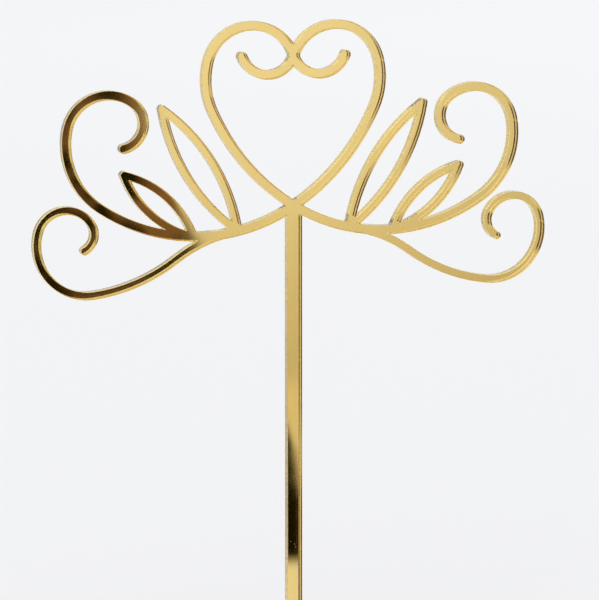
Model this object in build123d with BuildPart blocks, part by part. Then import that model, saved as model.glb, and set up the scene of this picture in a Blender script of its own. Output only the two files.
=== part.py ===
"""Cake topper: a heart flourish on a stick, cut in one piece from gold mirrored acrylic sheet.

The sheet is three bonded layers. Clear amber acrylic faces the front, a metal mirror film
lies behind it, and a lacquer coat protects the film. The cutting beam takes the two coats
back a little from the cut edge, so they are drawn inside the acrylic's outline.

Frame: origin at the stick's tip, in the middle of the sheet's thickness. +Z runs up the
stick, -Y is the front, +X is to the right seen from the front. Lengths are in millimetres,
headings and turns in degrees, and a positive turn is anticlockwise seen from the front.
"""

import os
from math import cos, radians, sin, tan

from build123d import *

# Sheet
acrylic_thickness = 2.85
film_thickness = 0.05
lacquer_thickness = 0.10
burn_back = 0.20

# Stick
stick_width = 4.2
stick_length = 130.0
point_length = 14.0
tip_width = 1.6
tip_radius = 0.6

# Strokes: the heart and scrolls are drawn with a wider pen than the tails and leaves
main_stroke = 2.6
fine_stroke = 2.2

# Heart: the heading is the slope of its sides where they cross on top of the stick
crossing_heading = 32.0
heart_side_radius = 60.0
heart_side_turn = 34.0
heart_shoulder_radius = 20.6
heart_shoulder_turn = 38.0
heart_lobe_turn = 146.0
heart_hook_radius = 7.8
heart_hook_turn = -140.0

# Scrolls: each carries on from the heart's far side, through the crossing
scroll_sweep_radius = 50.0
scroll_sweep_turn = -66.0
scroll_rise_radius = 21.0
scroll_rise_turn = -66.0
scroll_curl_radius = 11.5
scroll_curl_turn = -120.0
scroll_eye_radius = 6.8
scroll_eye_turn = -130.0

# Tails: each leaves a scroll's sweep along its tangent and winds up outside it
tail_start_share = 0.33
tail_dip_radius = 38.0
tail_dip_turn = 26.0
tail_sweep_radius = 48.0
tail_sweep_turn = -30.0
tail_rise_radius = 14.0
tail_rise_turn = -110.0
tail_curl_radius = 8.0
tail_curl_turn = -140.0
tail_eye_radius = 5.0
tail_eye_turn = -90.0

# Leaves: open loops that stand on a scroll's sweep
tall_leaf_length = 40.0
tall_leaf_width = 8.0
tall_leaf_heading = 122.0
tall_leaf_foot_share = 0.30
short_leaf_length = 26.0
short_leaf_width = 6.4
short_leaf_heading = 138.0
short_leaf_foot_share = 0.52

# Layers, measured from the front of the sheet
sheet_thickness = acrylic_thickness + film_thickness + lacquer_thickness
film_depth = acrylic_thickness
lacquer_depth = acrylic_thickness + film_thickness

crossing = (0, stick_length)
half_turn = 180


def draw_arcs(start, heading, arcs):
    """Draws arcs in the open line, each tangent to the last, and returns them."""
    point = start
    direction = (cos(radians(heading)), sin(radians(heading)))
    drawn = []
    for radius, turn in arcs:
        drawn.append(JernArc(point, direction, radius, turn))
        point = drawn[-1] @ 1
        direction = drawn[-1] % 1
    return drawn


# Centrelines on the sheet's plane, for the stroke of each pair that ends on the left
with BuildLine() as limb:
    _, shoulder = draw_arcs(
        crossing,
        crossing_heading,
        (
            (heart_side_radius, heart_side_turn),
            (heart_shoulder_radius, heart_shoulder_turn),
        ),
    )
    lobe_heading = crossing_heading + heart_side_turn + heart_shoulder_turn
    dip_heading = lobe_heading + heart_lobe_turn
    # The lobe is as large as it must be to end on the stick's centreline
    lobe_radius = (shoulder @ 1).X / (sin(radians(lobe_heading)) - sin(radians(dip_heading)))
    draw_arcs(
        shoulder @ 1,
        lobe_heading,
        ((lobe_radius, heart_lobe_turn), (heart_hook_radius, heart_hook_turn)),
    )
    scroll_sweep, *_ = draw_arcs(
        crossing,
        crossing_heading + half_turn,
        (
            (scroll_sweep_radius, scroll_sweep_turn),
            (scroll_rise_radius, scroll_rise_turn),
            (scroll_curl_radius, scroll_curl_turn),
            (scroll_eye_radius, scroll_eye_turn),
        ),
    )

with BuildLine() as tail:
    draw_arcs(
        scroll_sweep @ tail_start_share,
        crossing_heading + half_turn + tail_start_share * scroll_sweep_turn,
        (
            (tail_dip_radius, tail_dip_turn),
            (tail_sweep_radius, tail_sweep_turn),
            (tail_rise_radius, tail_rise_turn),
            (tail_curl_radius, tail_curl_turn),
            (tail_eye_radius, tail_eye_turn),
        ),
    )


def draw_leaf(foot_share, length, width, heading, stroke):
    """Fills a leaf's two bowed sides in the open sketch."""
    foot = scroll_sweep @ foot_share
    tip = foot + Vector(length * cos(radians(heading)), length * sin(radians(heading)))
    for bow in (width / 2, -width / 2):
        with BuildLine(mode=Mode.PRIVATE) as leaf_side:
            SagittaArc(foot, tip, bow)
        SlotArc(leaf_side.wire(), stroke)


def draw_stick(edge_gap):
    """Fills the stick in the open sketch, from its point to inside the crossing."""
    half_width = stick_width / 2 - edge_gap
    half_tip = tip_width / 2 - edge_gap
    top = stick_length - half_width * tan(radians(crossing_heading))
    with BuildSketch(mode=Mode.PRIVATE) as stick:
        with BuildLine():
            Polyline(
                (half_width, top),
                (half_width, point_length),
                (half_tip, edge_gap),
                (-half_tip, edge_gap),
                (-half_width, point_length),
                (-half_width, top),
                close=True,
            )
        make_face()
        fillet(stick.vertices().group_by(Axis.Y)[0], tip_radius - edge_gap)
    add(stick.sketch)


def draw_outline(edge_gap):
    """Fills the topper's outline in the open sketch, drawn in all round by edge_gap."""
    main_width = main_stroke - 2 * edge_gap
    fine_width = fine_stroke - 2 * edge_gap
    SlotArc(limb.wire(), main_width)
    SlotArc(tail.wire(), fine_width)
    draw_leaf(tall_leaf_foot_share, tall_leaf_length, tall_leaf_width, tall_leaf_heading, fine_width)
    draw_leaf(short_leaf_foot_share, short_leaf_length, short_leaf_width, short_leaf_heading, fine_width)
    mirror(about=Plane.YZ)
    draw_stick(edge_gap)


def layer_plane(depth):
    """The sheet's plane at a depth behind its front face."""
    return Plane.XZ.offset(sheet_thickness / 2 - depth)


os.makedirs("parts", exist_ok=True)

# Clear amber acrylic, the body of the sheet
with BuildPart() as acrylic_sheet:
    with BuildSketch(layer_plane(0)):
        draw_outline(0)
    extrude(amount=-acrylic_thickness)
acrylic_sheet.part.label = "acrylic_sheet"
export_step(acrylic_sheet.part, "parts/acrylic_sheet.step")

# Mirror film on the back of the acrylic
with BuildPart() as mirror_film:
    with BuildSketch(layer_plane(film_depth)):
        draw_outline(burn_back)
    extrude(amount=-film_thickness)
mirror_film.part.label = "mirror_film"
export_step(mirror_film.part, "parts/mirror_film.step")

# Lacquer over the film
with BuildPart() as backing_lacquer:
    with BuildSketch(layer_plane(lacquer_depth)):
        draw_outline(burn_back)
    extrude(amount=-lacquer_thickness)
backing_lacquer.part.label = "backing_lacquer"
export_step(backing_lacquer.part, "parts/backing_lacquer.step")
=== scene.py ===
"""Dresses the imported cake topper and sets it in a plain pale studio.

The topper is one sheet: clear amber acrylic in front, a bright metal film behind it and a coat
of grey lacquer over the film. The acrylic and the lacquer are rebuilt here from their CAD
outlines, with filleted inner corners, broken edges and the marks of the cutting beam. The film
keeps its CAD shape. Everything is in metres, in the CAD frame, except where a name ends in _mm.
"""

import logging
from dataclasses import dataclass
from enum import IntEnum
from math import cos, pi, radians, sin

import bmesh
import bpy
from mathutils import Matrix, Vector


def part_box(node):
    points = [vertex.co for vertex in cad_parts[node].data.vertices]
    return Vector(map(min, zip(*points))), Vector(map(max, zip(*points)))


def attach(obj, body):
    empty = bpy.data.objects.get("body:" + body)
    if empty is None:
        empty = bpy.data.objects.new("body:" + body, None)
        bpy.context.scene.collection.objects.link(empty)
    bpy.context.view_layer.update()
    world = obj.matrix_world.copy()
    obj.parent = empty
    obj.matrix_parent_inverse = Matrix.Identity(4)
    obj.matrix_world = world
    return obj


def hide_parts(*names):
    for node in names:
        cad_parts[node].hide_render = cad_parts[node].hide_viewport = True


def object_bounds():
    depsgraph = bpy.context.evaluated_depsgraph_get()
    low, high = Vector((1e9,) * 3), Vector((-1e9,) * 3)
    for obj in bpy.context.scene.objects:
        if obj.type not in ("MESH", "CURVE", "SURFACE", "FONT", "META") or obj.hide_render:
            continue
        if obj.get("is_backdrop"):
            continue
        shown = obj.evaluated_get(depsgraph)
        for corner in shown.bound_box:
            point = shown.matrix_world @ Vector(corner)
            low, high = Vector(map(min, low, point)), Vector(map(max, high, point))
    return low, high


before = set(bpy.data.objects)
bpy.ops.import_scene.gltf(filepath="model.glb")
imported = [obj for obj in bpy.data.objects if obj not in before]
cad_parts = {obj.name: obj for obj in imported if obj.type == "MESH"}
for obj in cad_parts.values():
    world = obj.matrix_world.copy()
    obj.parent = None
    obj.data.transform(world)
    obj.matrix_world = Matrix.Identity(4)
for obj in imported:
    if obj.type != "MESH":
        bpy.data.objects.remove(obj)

log = logging.getLogger("topper")

Colour = tuple[float, float, float]
Point = tuple[float, float, float]
Span = tuple[float, float]
Socket = bpy.types.NodeSocket

BODY = "root"
MM = 0.001
IMAGE_WIDTH_PX = 599
SENSOR_WIDTH_MM = 36.0
SOOT = "soot"
RISING: Span = (0.0, 1.0)
FALLING: Span = (1.0, 0.0)


class Side(IntEnum):
    """The two faces of the sheet, by the sign of their normal along Y."""

    FRONT = -1
    BACK = 1


class Surface(IntEnum):
    """Material slots of the acrylic plate."""

    FACE = 0
    WALL = 1
    SCORCH = 2


class NodeKit:
    """Short calls for adding and joining the nodes of one tree."""

    def __init__(self, tree: bpy.types.NodeTree) -> None:
        """Keeps the tree that the calls work on."""
        self.tree = tree

    def node(self, kind: str, **settings: object) -> bpy.types.Node:
        """Adds a node.

        Args:
            kind: The node's type name.
            settings: Properties to set on the node.

        Returns:
            The new node.
        """
        made = self.tree.nodes.new(kind)
        for name, value in settings.items():
            setattr(made, name, value)
        return made

    def put(self, socket: Socket, value: object) -> None:
        """Links a socket, or sets a plain value, on an input.

        Args:
            socket: The input.
            value: An output socket to link, or a value to set.
        """
        if isinstance(value, bpy.types.NodeSocket):
            self.tree.links.new(value, socket)
        else:
            socket.default_value = value

    def math(self, operation: str, *values: object) -> Socket:
        """Adds a Math node and returns its output.

        Args:
            operation: The Math node's operation.
            values: Its inputs, in order.

        Returns:
            The result.
        """
        made = self.node("ShaderNodeMath", operation=operation)
        for socket, value in zip(made.inputs, values):
            self.put(socket, value)
        return made.outputs[0]

    def ramp(self, value: Socket, span: Span, to: Span = RISING) -> Socket:
        """Adds a smooth Map Range node and returns its output.

        Args:
            value: What is mapped.
            span: The values that give the two ends.
            to: The two ends.

        Returns:
            The mapped value.
        """
        made = self.node("ShaderNodeMapRange", interpolation_type="SMOOTHSTEP")
        for name, given in zip(("Value", "From Min", "From Max", "To Min", "To Max"), (value, *span, *to)):
            self.put(made.inputs[name], given)
        return made.outputs[0]

    def mix(self, factor: object, first: object, second: object, blend: str = "MIX") -> Socket:
        """Mixes two colours.

        Args:
            factor: The share of the second.
            first: A colour or a colour socket.
            second: A colour or a colour socket.
            blend: The Mix node's blend type.

        Returns:
            The mixed colour.
        """
        made = self.node("ShaderNodeMix", data_type="RGBA", blend_type=blend)
        colours = [s for s in made.inputs if s.type == "RGBA"]
        self.put(made.inputs[0], factor)
        for socket, value in zip(colours, (first, second)):
            self.put(socket, (*value, 1.0) if isinstance(value, tuple) else value)
        return next(s for s in made.outputs if s.type == "RGBA")

    def noise(self, vector: Socket, scale: object, detail: float) -> Socket:
        """Adds a Noise Texture and returns its value.

        Args:
            vector: Where the noise is read.
            scale: Its scale, or a socket that gives it.
            detail: Its detail.

        Returns:
            The noise value.
        """
        made = self.node("ShaderNodeTexNoise")
        for name, given in (("Vector", vector), ("Scale", scale), ("Detail", detail)):
            self.put(made.inputs[name], given)
        return made.outputs[0]

    def place(self) -> Socket:
        """Object coordinates."""
        return self.node("ShaderNodeTexCoord").outputs["Object"]

    def drawn_out(self, through_share: float) -> Socket:
        """Object coordinates that change little through the sheet's thickness.

        Args:
            through_share: How much they change along Y.

        Returns:
            The coordinates.
        """
        made = self.node("ShaderNodeMapping")
        self.put(made.inputs["Vector"], self.place())
        self.put(made.inputs["Scale"], (1.0, through_share, 1.0))
        return made.outputs[0]


def handling_marks() -> bpy.types.ShaderNodeTree:
    """Builds the group that marks a smooth surface with haze and settled dust.

    Returns:
        A group with a haze from 0 to 1 and specks of 0 or 1.
    """
    name = "handling_marks"
    if name in bpy.data.node_groups:
        return bpy.data.node_groups[name]
    haze_span = (0.35, 0.7)
    haze_detail = 4.0
    group = bpy.data.node_groups.new(name, "ShaderNodeTree")
    for label, default in (("Haze Scale", 40.0), ("Speck Scale", 520.0), ("Speck Size", 0.045)):
        made = group.interface.new_socket(label, in_out="INPUT", socket_type="NodeSocketFloat")
        made.default_value = default
    for label in ("Haze", "Specks"):
        group.interface.new_socket(label, in_out="OUTPUT", socket_type="NodeSocketFloat")
    kit = NodeKit(group)
    given = kit.node("NodeGroupInput").outputs
    result = kit.node("NodeGroupOutput").inputs
    haze = kit.noise(kit.place(), given["Haze Scale"], haze_detail)
    kit.put(result["Haze"], kit.ramp(haze, haze_span))
    dust = kit.node("ShaderNodeTexVoronoi")
    kit.put(dust.inputs["Vector"], kit.place())
    kit.put(dust.inputs["Scale"], given["Speck Scale"])
    kit.put(result["Specks"], kit.math("LESS_THAN", dust.outputs["Distance"], given["Speck Size"]))
    return group


@dataclass(frozen=True)
class Finish:
    """What every finish has: a material name and a base colour."""

    name: str
    colour: Colour

    def start(self) -> tuple[bpy.types.Material, NodeKit, bpy.types.Node]:
        """Begins the material.

        Returns:
            The material, its node kit and its Principled shader.
        """
        made = bpy.data.materials.new(self.name)
        made.use_nodes = True
        kit = NodeKit(made.node_tree)
        shader = next(n for n in made.node_tree.nodes if n.type == "BSDF_PRINCIPLED")
        shader.inputs["Base Color"].default_value = (*self.colour, 1.0)
        return made, kit, shader

    @staticmethod
    def marks(kit: NodeKit, **values: float) -> bpy.types.Node:
        """Places the handling marks in a material.

        Args:
            kit: The material's node kit.
            values: The group's inputs, with _ for the space in a name.

        Returns:
            The group's node.
        """
        made = kit.node("ShaderNodeGroup", node_tree=handling_marks())
        for name, value in values.items():
            kit.put(made.inputs[name.replace("_", " ")], value)
        return made

    @staticmethod
    def bump(kit: NodeKit, shader: bpy.types.Node, height: Socket, depth: float) -> None:
        """Feeds a height into a shader's normal.

        Args:
            kit: The material's node kit.
            shader: Its Principled shader.
            height: The height, from 0 to 1.
            depth: What a height of 1 stands for.
        """
        made = kit.node("ShaderNodeBump")
        made.inputs["Strength"].default_value = 1.0
        made.inputs["Distance"].default_value = depth
        kit.put(made.inputs["Height"], height)
        kit.put(shader.inputs["Normal"], made.outputs[0])


@dataclass(frozen=True)
class PolishedAcrylic(Finish):
    """The sheet's cast face: clear amber, with faint haze and a few specks of dust."""

    ior: float = 1.49
    clean_roughness: float = 0.008
    hazed_roughness: float = 0.03
    speck_roughness: float = 0.6

    def material(self) -> bpy.types.Material:
        """Returns the finished material."""
        made, kit, shader = self.start()
        shader.inputs["Transmission Weight"].default_value = 1.0
        shader.inputs["IOR"].default_value = self.ior
        marks = self.marks(kit).outputs
        smooth = kit.ramp(marks["Haze"], RISING, (self.clean_roughness, self.hazed_roughness))
        specked = kit.math("MULTIPLY", marks["Specks"], self.speck_roughness)
        kit.put(shader.inputs["Roughness"], kit.math("MAXIMUM", smooth, specked))
        return made


@dataclass(frozen=True)
class CutAcrylic(Finish):
    """The beam's cut: glossy, a little frosted, with browned ridges through the thickness."""

    ridge_colour: Colour = (0.80, 0.58, 0.15)
    ior: float = 1.49
    clear_share: float = 0.97
    low_roughness: float = 0.03
    high_roughness: float = 0.08
    ridge_scale: float = 2600.0
    ridge_span: Span = (0.42, 0.58)
    ridge_depth: float = 0.0000015
    wave_scale: float = 260.0
    wave_span: Span = (0.3, 0.7)
    noise_detail: float = 1.0
    through_share: float = 0.04

    def material(self) -> bpy.types.Material:
        """Returns the finished material."""
        made, kit, shader = self.start()
        shader.inputs["Transmission Weight"].default_value = self.clear_share
        shader.inputs["IOR"].default_value = self.ior
        along = kit.drawn_out(self.through_share)
        ridges = kit.ramp(kit.noise(along, self.ridge_scale, self.noise_detail), self.ridge_span)
        kit.put(shader.inputs["Base Color"], kit.mix(ridges, self.colour, self.ridge_colour))
        waves = kit.noise(along, self.wave_scale, self.noise_detail)
        rough = kit.ramp(waves, self.wave_span, (self.low_roughness, self.high_roughness))
        kit.put(shader.inputs["Roughness"], rough)
        self.bump(kit, shader, kit.math("ADD", ridges, waves), self.ridge_depth)
        return made


@dataclass(frozen=True)
class MetalFilm(Finish):
    """The bright film that makes the sheet a mirror, a little uneven from the rolled sheet."""

    dull_share: float = 0.96
    clean_roughness: float = 0.01
    hazed_roughness: float = 0.03
    wave_scale: float = 45.0
    wave_detail: float = 0.0
    wave_depth: float = 0.000002

    def material(self) -> bpy.types.Material:
        """Returns the finished material."""
        made, kit, shader = self.start()
        shader.inputs["Metallic"].default_value = 1.0
        haze = self.marks(kit).outputs["Haze"]
        dull = tuple(self.dull_share * c for c in self.colour)
        kit.put(shader.inputs["Base Color"], kit.mix(haze, self.colour, dull))
        smooth = kit.ramp(haze, RISING, (self.clean_roughness, self.hazed_roughness))
        kit.put(shader.inputs["Roughness"], smooth)
        waves = kit.noise(kit.place(), self.wave_scale, self.wave_detail)
        self.bump(kit, shader, waves, self.wave_depth)
        return made


@dataclass(frozen=True)
class SprayedLacquer(Finish):
    """The grey coat on the back: satin, with orange peel, scuffs and soot along the cut."""

    rubbed: Colour = (0.42, 0.40, 0.37)
    sooty: Colour = (0.13, 0.095, 0.065)
    soot_scale: float = 700.0
    soot_detail: float = 2.0
    soot_span: Span = (0.25, 1.15)
    haze_scale: float = 90.0
    low_roughness: float = 0.38
    high_roughness: float = 0.58
    peel_scale: float = 1100.0
    peel_detail: float = 1.0
    peel_depth: float = 0.00001

    def material(self) -> bpy.types.Material:
        """Returns the finished material."""
        made, kit, shader = self.start()
        haze = self.marks(kit, Haze_Scale=self.haze_scale).outputs["Haze"]
        paint = kit.mix(haze, self.colour, self.rubbed)
        edge = kit.node("ShaderNodeAttribute", attribute_name=SOOT).outputs["Fac"]
        smoke = kit.math("ADD", kit.noise(kit.place(), self.soot_scale, self.soot_detail), edge)
        soot = kit.ramp(kit.math("MULTIPLY", smoke, edge), self.soot_span)
        kit.put(shader.inputs["Base Color"], kit.mix(soot, paint, self.sooty))
        rough = kit.ramp(haze, RISING, (self.high_roughness, self.low_roughness))
        kit.put(shader.inputs["Roughness"], rough)
        peel = kit.noise(kit.place(), self.peel_scale, self.peel_detail)
        self.bump(kit, shader, peel, self.peel_depth)
        return made


@dataclass
class CutLayer:
    """A layer of the sheet that is rebuilt from its CAD outline and stands for its CAD node.

    Attributes:
        node: The CAD node.
        name: The piece's name.
        slot: The record's material slot; not used.
        merge_mm: Points nearer than this are joined.
        facing: The least share of a normal along Y on a face that isn't a wall.
        square: The same on a face that lies flat in the sheet.
        corner_angle: The least turn of a corner that is rounded.
        corner_fillet_mm: How far from a corner its round begins.
        corner_segments: How many edges the round has.
        straight_mm: An edge longer than this is split near its ends.
        straight_end_mm: How near.
        short_mm: A shorter edge stays whole, whatever its neighbours.
        long_ratio: How many times longer than its neighbour an edge is before it is split.
        sharp_angle: The least angle of an edge that isn't shaded smooth.
    """

    node: str
    name: str
    slot: str
    merge_mm: float = 0.001
    facing: float = 0.5
    square: float = 0.999
    corner_angle: float = radians(40.0)
    corner_fillet_mm: float = 0.35
    corner_segments: int = 3
    straight_mm: float = 6.0
    straight_end_mm: float = 0.25
    short_mm: float = 0.75
    long_ratio: float = 3.0
    sharp_angle: float = radians(32.0)

    def outline(self) -> bmesh.types.BMesh:
        """Copies the closed outlines of the CAD layer's front face, in millimetres.

        Returns:
            A mesh of edges alone.
        """
        mesh = bmesh.new()
        mesh.from_mesh(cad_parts[self.node].data)
        bmesh.ops.scale(mesh, vec=(1 / MM,) * 3, verts=mesh.verts)
        bmesh.ops.remove_doubles(mesh, verts=mesh.verts, dist=self.merge_mm)
        behind = [f for f in mesh.faces if f.normal.y * Side.FRONT < self.facing]
        bmesh.ops.delete(mesh, geom=behind, context="FACES")
        inner = [e for e in mesh.edges if len(e.link_faces) > 1]
        bmesh.ops.delete(mesh, geom=mesh.faces[:], context="FACES_ONLY")
        bmesh.ops.delete(mesh, geom=inner, context="EDGES")
        loose = [v for v in mesh.verts if not v.link_edges]
        bmesh.ops.delete(mesh, geom=loose, context="VERTS")
        return mesh

    def fillet_corners(self, mesh: bmesh.types.BMesh) -> int:
        """Rounds the outline's corners as wide as the beam cuts them.

        Args:
            mesh: The outlines.

        Returns:
            How many corners were rounded.
        """
        corners = []
        for vertex in mesh.verts:
            ends = [e.other_vert(vertex).co - vertex.co for e in vertex.link_edges]
            if len(ends) == 2 and pi - ends[0].angle(ends[1]) > self.corner_angle:
                corners.append(vertex)
        bmesh.ops.bevel(
            mesh,
            geom=corners,
            offset=self.corner_fillet_mm,
            offset_type="OFFSET",
            segments=self.corner_segments,
            profile=0.5,
            affect="VERTICES",
            material=-1,
        )
        return len(corners)

    def hold_straights(self, mesh: bmesh.types.BMesh) -> None:
        """Splits long edges close to their ends, so that a corner doesn't shade the wall beside it.

        Args:
            mesh: The outlines.
        """
        for edge in mesh.edges[:]:
            length = edge.calc_length()
            for end in edge.verts[:]:
                beside = min(e.calc_length() for e in end.link_edges)
                if length > self.straight_mm or length > max(self.short_mm, self.long_ratio * beside):
                    bmesh.utils.edge_split(edge, end, self.straight_end_mm / edge.calc_length())

    def thicken(self, mesh: bmesh.types.BMesh, thickness_mm: float) -> None:
        """Fills the outlines and gives the layer its thickness, towards the back.

        Args:
            mesh: The outlines.
            thickness_mm: The layer's thickness.
        """
        front = (0, Side.FRONT, 0)
        bmesh.ops.triangle_fill(mesh, use_beauty=True, use_dissolve=False, edges=mesh.edges[:], normal=front)
        grown = bmesh.ops.extrude_face_region(mesh, geom=mesh.faces[:])
        back = [g for g in grown["geom"] if isinstance(g, bmesh.types.BMVert)]
        bmesh.ops.translate(mesh, verts=back, vec=(0, thickness_mm, 0))
        bmesh.ops.recalc_face_normals(mesh, faces=mesh.faces[:])

    def edge_ring(
        self, mesh: bmesh.types.BMesh, side: Side, width_mm: float, drop_mm: float = 0.0
    ) -> tuple[list[bmesh.types.BMFace], set[bmesh.types.BMVert]]:
        """Cuts a ring along the edge of one face of the layer.

        Args:
            mesh: The layer.
            side: Which face is cut.
            width_mm: How wide the ring is.
            drop_mm: How far its outer edge is sunk.

        Returns:
            The ring's faces and the vertices of its outer edge.
        """
        caps = [f for f in mesh.faces if f.normal.y * side > self.square]
        ring = bmesh.ops.inset_region(
            mesh, faces=caps, use_boundary=True, use_even_offset=True, thickness=width_mm
        )["faces"]
        kept = {v for f in caps for v in f.verts}
        outer = {v for f in ring for v in f.verts} - kept
        bmesh.ops.translate(mesh, verts=list(outer), vec=(0, -side * drop_mm, 0))
        mesh.normal_update()
        return ring, outer

    def place(self, mesh: bmesh.types.BMesh) -> bpy.types.Object:
        """Shades the layer, makes it an object and gives it its place in the assembly.

        Args:
            mesh: The finished layer, in millimetres.

        Returns:
            The layer's object.
        """
        mesh.normal_update()
        for face in mesh.faces:
            face.smooth = True
        for edge in mesh.edges:
            edge.smooth = edge.calc_face_angle(0.0) < self.sharp_angle
        bmesh.ops.scale(mesh, vec=(MM,) * 3, verts=mesh.verts)
        data = bpy.data.meshes.new(self.name)
        mesh.to_mesh(data)
        mesh.free()
        made = bpy.data.objects.new(self.name, data)
        bpy.context.scene.collection.objects.link(made)
        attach(made, BODY)
        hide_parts(self.node)
        log.info("%s: %d faces", self.name, len(data.polygons))
        return made


@dataclass
class AcrylicPlate(CutLayer):
    """The clear amber sheet with the cut outline.

    Attributes:
        edge_break_mm: How wide and how deep the edges of both faces are broken.
        scorch_mm: How wide the back is scorched along the cut.
        film_grip_mm: How far the plate reaches into the film, so that no gap shows between them.
        face: The finish of both faces.
        wall: The finish of the cut.
        scorch: The finish of the scorched ring.
    """

    node: str = "acrylic_sheet"
    name: str = "amber_plate"
    slot: str = "amber_acrylic"
    edge_break_mm: float = 0.07
    scorch_mm: float = 0.16
    film_grip_mm: float = 0.01
    face: PolishedAcrylic = PolishedAcrylic("polished_amber_acrylic", (0.97, 0.72, 0.25))
    wall: CutAcrylic = CutAcrylic("cut_amber_acrylic", (1.0, 0.78, 0.20))
    scorch: CutAcrylic = CutAcrylic(
        "scorched_amber_acrylic",
        (0.62, 0.43, 0.15),
        ridge_colour=(0.48, 0.32, 0.11),
        clear_share=0.72,
        low_roughness=0.2,
        high_roughness=0.45,
    )

    def build(self) -> bpy.types.Object:
        """Builds the plate from the CAD sheet's outline.

        Returns:
            The plate's object.
        """
        low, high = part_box(self.node)
        mesh = self.outline()
        rounded = self.fillet_corners(mesh)
        self.hold_straights(mesh)
        self.thicken(mesh, (high.y - low.y) / MM + self.film_grip_mm)
        for face in mesh.faces:
            face.material_index = Surface.FACE if abs(face.normal.y) > self.facing else Surface.WALL
        for side in Side:
            for face in self.edge_ring(mesh, side, self.edge_break_mm, self.edge_break_mm)[0]:
                face.material_index = Surface.WALL
        for face in self.edge_ring(mesh, Side.BACK, self.scorch_mm)[0]:
            face.material_index = Surface.SCORCH
        log.info("%s: %d corners rounded", self.name, rounded)
        return self.place(mesh)

    def dress(self, made: bpy.types.Object) -> None:
        """Gives the plate its finishes, in the order of its material slots.

        Args:
            made: The plate's object.
        """
        for finish in (self.face, self.wall, self.scorch):
            made.data.materials.append(finish.material())


@dataclass
class LacquerCoat(CutLayer):
    """The grey coat over the film, smoked along the cut.

    Attributes:
        edge_break_mm: How wide and how deep the edge of its back is broken.
        smoke_mm: How far the soot reaches in from the edge.
        finish: The coat's finish.
    """

    node: str = "backing_lacquer"
    name: str = "grey_lacquer_coat"
    slot: str = "backing_lacquer"
    edge_break_mm: float = 0.03
    smoke_mm: float = 0.4
    finish: SprayedLacquer = SprayedLacquer("grey_lacquer", (0.36, 0.34, 0.31))

    def build(self) -> bpy.types.Object:
        """Builds the coat from the CAD coat's outline.

        Returns:
            The coat's object.
        """
        low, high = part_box(self.node)
        mesh = self.outline()
        self.fillet_corners(mesh)
        self.hold_straights(mesh)
        self.thicken(mesh, (high.y - low.y) / MM)
        soot = mesh.verts.layers.float.new(SOOT)
        smoked = self.edge_ring(mesh, Side.BACK, self.edge_break_mm, self.edge_break_mm)[1]
        smoked |= self.edge_ring(mesh, Side.BACK, self.smoke_mm)[1]
        for vertex in smoked:
            vertex[soot] = 1.0
        return self.place(mesh)

    def dress(self, made: bpy.types.Object) -> None:
        """Gives the coat its finish."""
        made.data.materials.append(self.finish.material())


@dataclass
class MirrorFilm:
    """The metal film between the acrylic and the lacquer, which keeps its CAD shape."""

    node: str = "mirror_film"
    finish: MetalFilm = MetalFilm("bright_metal_film", (0.94, 0.93, 0.91))

    def dress(self) -> None:
        """Gives the CAD node its finish."""
        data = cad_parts[self.node].data
        data.materials.clear()
        data.materials.append(self.finish.material())
        log.info("%s: dressed in %s", self.node, self.finish.name)


@dataclass
class Camera:
    """The photograph's viewpoint: left of the object and a little above it."""

    target_mm: Point = (1.3, -1.5, 103.9)
    azimuth: float = radians(-16.7)
    elevation: float = radians(8.5)
    distance_mm: float = 900.0
    pixels_per_mm: float = 3.63

    def build(self) -> None:
        """Makes the camera and gives it to the scene."""
        data = bpy.data.cameras.new("photo_camera")
        data.sensor_width = SENSOR_WIDTH_MM
        data.lens = SENSOR_WIDTH_MM * self.distance_mm * self.pixels_per_mm / IMAGE_WIDTH_PX
        made = bpy.data.objects.new("photo_camera", data)
        level = cos(self.elevation)
        away = Vector((sin(self.azimuth) * level, -cos(self.azimuth) * level, sin(self.elevation)))
        made.location = (Vector(self.target_mm) + away * self.distance_mm) * MM
        made.rotation_euler = (-away).to_track_quat("-Z", "Y").to_euler()
        bpy.context.scene.collection.objects.link(made)
        bpy.context.scene.camera = made
        log.info("camera: %.1f mm lens, %.0f mm away", data.lens, self.distance_mm)


@dataclass(frozen=True)
class DarkEnd:
    """A dark part of the room: where each of its sides fades, in degrees.

    Left and right count from straight in front of the object, foot and top from level.
    """

    left: Span
    right: Span
    foot: Span
    top: Span


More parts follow.
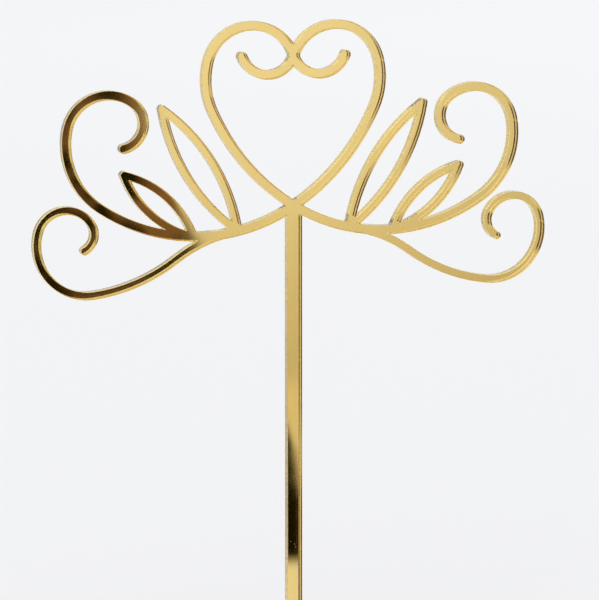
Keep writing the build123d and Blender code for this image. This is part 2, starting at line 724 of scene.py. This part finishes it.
@dataclass
class Room:
    """What the mirror and the clear acrylic show: a pale room with dark ends before the object.

    Colours are linear. Spans are in degrees, to the right of straight in front or above level, and
    say where a fade begins and ends, except patch_span, which is in noise values.

    Attributes:
        white: The backdrop, and the table and the rest of the room in the mirror.
        light_level: The grey that lights matt surfaces.
        wall_top: The wall, above its fade.
        wall_foot: The wall, below its fade.
        wall_fade: Between the two, upwards.
        side_shade: What the wall is multiplied by at the far right.
        side_fade: Where that sets in, to the right.
        ceiling: The ceiling.
        ceiling_rise: Where it begins, upwards.
        counter: The counter under the wall.
        counter_edge: Its upper edge.
        table_edge: Where the table before it ends, upwards.
        black: The curtain and the cabinet.
        brown: Lit patches of the curtain.
        brown_rise: Where the patches set in, upwards.
        patch_scale: How fine they are.
        patch_detail: How broken up they are.
        patch_span: Which noise values they take.
        curtain_edge: How far right the curtain's edge hangs at the foot and at the top of its rise.
        curtain_rise: Where its edge leans, upwards.
        curtain: The curtain, with its left and right counted from that edge.
        cabinet: A low dark cabinet.
        oak: The screen and the bench.
        screen: A wooden screen to the left.
        bench: A wooden bench below the screen.
    """

    white: Colour = (0.895, 0.905, 0.925)
    light_level: float = 0.89
    wall_top: Colour = (0.94, 0.95, 0.97)
    wall_foot: Colour = (0.67, 0.635, 0.535)
    wall_fade: Span = (-9.8, -4.8)
    side_shade: Colour = (0.82, 0.81, 0.79)
    side_fade: Span = (16.0, 21.5)
    ceiling: Colour = (1.0, 1.0, 1.0)
    ceiling_rise: Span = (-2.5, 1.0)
    counter: Colour = (0.785, 0.735, 0.61)
    counter_edge: Span = (-10.1, -9.7)
    table_edge: Span = (-13.2, -12.9)
    black: Colour = (0.009, 0.008, 0.003)
    brown: Colour = (0.22, 0.13, 0.07)
    brown_rise: Span = (-10.0, -6.5)
    patch_scale: float = 60.0
    patch_detail: float = 2.0
    patch_span: Span = (0.42, 0.62)
    curtain_edge: Span = (16.72, 14.0)
    curtain_rise: Span = (-12.1, -4.6)
    curtain: DarkEnd = DarkEnd((-12.0, -8.0), (-0.08, 0.08), (-13.2, -12.9), (3.0, 9.0))
    cabinet: DarkEnd = DarkEnd((2.0, 6.0), (18.0, 18.4), (-13.2, -12.9), (-12.0, -11.7))
    oak: Colour = (0.10, 0.052, 0.002)
    screen: DarkEnd = DarkEnd((-34.0, -27.0), (-15.4, -12.8), (-11.6, -10.2), (8.0, 15.0))
    bench: DarkEnd = DarkEnd((-24.0, -19.0), (-2.0, 8.0), (-22.0, -18.5), (-11.9, -11.0))

    @staticmethod
    def dark_mask(kit: NodeKit, right: Socket, up: Socket, end: DarkEnd) -> Socket:
        """How far a direction lies in a dark end of the room.

        Args:
            kit: The world's node kit.
            right: Degrees to the right.
            up: Degrees above level.
            end: The dark end.

        Returns:
            A mask from 0 to 1.
        """
        across = kit.math("MULTIPLY", kit.ramp(right, end.left), kit.ramp(right, end.right, FALLING))
        upright = kit.math("MULTIPLY", kit.ramp(up, end.foot), kit.ramp(up, end.top, FALLING))
        return kit.math("MULTIPLY", across, upright)

    def pale(self, kit: NodeKit, ahead: Socket, right: Socket, up: Socket) -> Socket:
        """The pale wall, ceiling, counter and table, seen from the object.

        Args:
            kit: The world's node kit.
            ahead: Above 0 in front of the object.
            right: Degrees to the right.
            up: Degrees above level.

        Returns:
            Their colour.
        """
        wall = kit.mix(kit.ramp(up, self.wall_fade), self.wall_foot, self.wall_top)
        wall = kit.mix(kit.ramp(up, self.counter_edge), self.counter, wall)
        wall = kit.mix(kit.ramp(right, self.side_fade), wall, self.side_shade, "MULTIPLY")
        wall = kit.mix(kit.ramp(up, self.ceiling_rise), wall, self.ceiling)
        wall = kit.mix(kit.ramp(up, self.table_edge), self.white, wall)
        return kit.mix(kit.math("GREATER_THAN", ahead, 0.0), self.white, wall)

    def build(self) -> None:
        """Makes the room's light and what the mirror shows of it."""
        world = bpy.data.worlds.new("studio")
        bpy.context.scene.world = world
        world.use_nodes = True
        kit = NodeKit(world.node_tree)
        way = kit.node("ShaderNodeTexCoord").outputs["Generated"]
        parts = kit.node("ShaderNodeSeparateXYZ")
        kit.put(parts.inputs[0], way)
        ahead = kit.math("MULTIPLY", parts.outputs["Y"], float(Side.FRONT))
        right = kit.math("DEGREES", kit.math("ARCTAN2", parts.outputs["X"], ahead))
        up = kit.math("DEGREES", kit.math("ARCSINE", parts.outputs["Z"]))

        past_edge = kit.math("SUBTRACT", right, kit.ramp(up, self.curtain_rise, self.curtain_edge))
        curtain = self.dark_mask(kit, past_edge, up, self.curtain)
        patches = kit.ramp(kit.noise(way, self.patch_scale, self.patch_detail), self.patch_span)
        warm = kit.math("MULTIPLY", kit.ramp(up, self.brown_rise), kit.math("MULTIPLY", curtain, patches))
        dark = kit.math("MAXIMUM", curtain, self.dark_mask(kit, right, up, self.cabinet))
        mirrored = kit.mix(dark, self.pale(kit, ahead, right, up), kit.mix(warm, self.black, self.brown))
        wooden = [self.dark_mask(kit, right, up, end) for end in (self.screen, self.bench)]
        mirrored = kit.mix(kit.math("MAXIMUM", *wooden), mirrored, self.oak)

        path = kit.node("ShaderNodeLightPath").outputs
        view = kit.mix(path["Is Camera Ray"], mirrored, self.white)
        shows = kit.math("MAXIMUM", path["Is Camera Ray"], path["Is Glossy Ray"])
        shows = kit.math("MAXIMUM", shows, path["Is Transmission Ray"])
        background = next(n for n in world.node_tree.nodes if n.type == "BACKGROUND")
        kit.put(background.inputs["Color"], kit.mix(shows, (self.light_level,) * 3, view))
        background.inputs["Strength"].default_value = 1.0


@dataclass(frozen=True)
class Softbox:
    """A square lamp: where it hangs, its side and its power in watts."""

    name: str
    place: Point
    size: float
    power: float


@dataclass
class Studio:
    """A pale floor under two soft lamps."""

    floor_colour: Colour = (0.93, 0.935, 0.955)
    floor_roughness: float = 1.0
    floor_gloss: float = 0.0
    floor_size: float = 12.0
    light_bounces: int = 24
    lamps: tuple[Softbox, ...] = (
        Softbox("key_softbox", (-2.0, -2.4, 3.2), 2.5, 12.0),
        Softbox("fill_softbox", (1.8, 2.8, 2.6), 2.2, 10.0),
    )

    def build_floor(self) -> None:
        """Lays the floor under the stick's tip, out of sight of the mirror."""
        mesh = bmesh.new()
        bmesh.ops.create_grid(mesh, x_segments=1, y_segments=1, size=self.floor_size)
        data = bpy.data.meshes.new("floor")
        mesh.to_mesh(data)
        mesh.free()
        made = bpy.data.objects.new("floor", data)
        material, _, shader = Finish("pale_floor", self.floor_colour).start()
        shader.inputs["Roughness"].default_value = self.floor_roughness
        shader.inputs["Specular IOR Level"].default_value = self.floor_gloss
        data.materials.append(material)
        made.visible_glossy = False
        made.visible_transmission = False
        bpy.context.scene.collection.objects.link(made)
        made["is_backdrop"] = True

    def build_lamps(self) -> None:
        """Hangs the softboxes, each turned to the middle of the object."""
        low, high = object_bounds()
        middle = (Vector(low) + Vector(high)) / 2
        for lamp in self.lamps:
            data = bpy.data.lights.new(lamp.name, "AREA")
            data.size = lamp.size
            data.energy = lamp.power
            made = bpy.data.objects.new(lamp.name, data)
            made.location = lamp.place
            made.rotation_euler = (middle - Vector(lamp.place)).to_track_quat("-Z", "Y").to_euler()
            bpy.context.scene.collection.objects.link(made)

    def build(self) -> None:
        """Builds the floor and the lamps, and sets how far light is followed."""
        self.build_floor()
        self.build_lamps()
        scene = bpy.context.scene
        scene.view_settings.view_transform = "Standard"
        scene.cycles.max_bounces = self.light_bounces
        scene.cycles.glossy_bounces = self.light_bounces
        scene.cycles.transmission_bounces = self.light_bounces
        log.info("studio: %d lamps", len(self.lamps))


def main() -> None:
    """Builds the pieces in order."""
    logging.basicConfig(level=logging.INFO, format="%(name)s: %(message)s")
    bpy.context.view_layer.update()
    for layer in (AcrylicPlate(), LacquerCoat()):
        layer.dress(layer.build())
    MirrorFilm().dress()
    Room().build()
    Studio().build()
    Camera().build()


if __name__ == "__main__":
    main()
